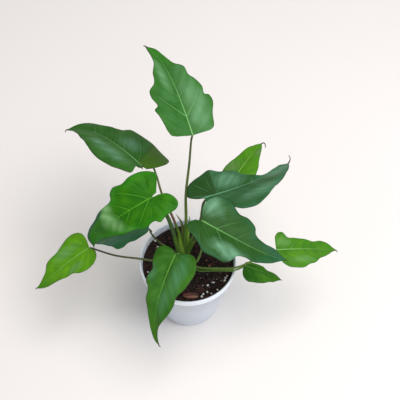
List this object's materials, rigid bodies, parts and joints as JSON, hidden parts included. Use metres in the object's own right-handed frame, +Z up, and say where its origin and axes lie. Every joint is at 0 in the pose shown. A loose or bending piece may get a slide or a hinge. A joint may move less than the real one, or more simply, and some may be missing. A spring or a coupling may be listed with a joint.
{
  "type": "potted winterbourn philodendron",
  "caption": "Young aroid house plant with waved, heart-shaped leaves on long stalks round a short crown, standing in a round white tapered nursery pot of dark potting mix.",
  "frame": {"origin": "middle of the pot's underside, where it stands on the surface", "axes": "+Z up; +X to the right as seen from the front, the way the leaves spread widest; -Y towards the viewer in the picture"},
  "size_m": [0.3343, 0.2662, 0.2646],
  "materials": {
    "pot_white": "semi-gloss moulded plastic",
    "potting_soil": "matte, moist, crumbly",
    "bark": "matte, rough",
    "sheath_green": "satin, waxy",
    "petiole_green": "satin, waxy",
    "leaf_deep": "satin, waxy",
    "leaf_mid": "satin, waxy",
    "leaf_bright": "satin, waxy"
  },
  "bodies": {
    "root": {"pot": "pot_white", "soil": "potting_soil", "bark_chip": "bark", "crown": "sheath_green", "petiole_top": "petiole_green", "leaf_top": "leaf_mid", "petiole_upper_left": "petiole_green", "leaf_upper_left": "leaf_deep", "petiole_bright_left": "petiole_green", "leaf_bright_left": "leaf_bright", "petiole_shade_left": "petiole_green", "leaf_shade_left": "leaf_deep", "petiole_upper_right": "petiole_green", "leaf_upper_right": "leaf_deep", "petiole_back_right": "petiole_green", "leaf_back_right": "leaf_bright", "petiole_front_right": "petiole_green", "leaf_front_right": "leaf_mid", "petiole_far_right": "petiole_green", "leaf_far_right": "leaf_bright", "petiole_small_right": "petiole_green", "leaf_small_right": "leaf_bright", "petiole_front": "petiole_green", "leaf_front": "leaf_mid", "petiole_far_left": "petiole_green", "leaf_far_left": "leaf_bright"}
  },
  "joints": []
}
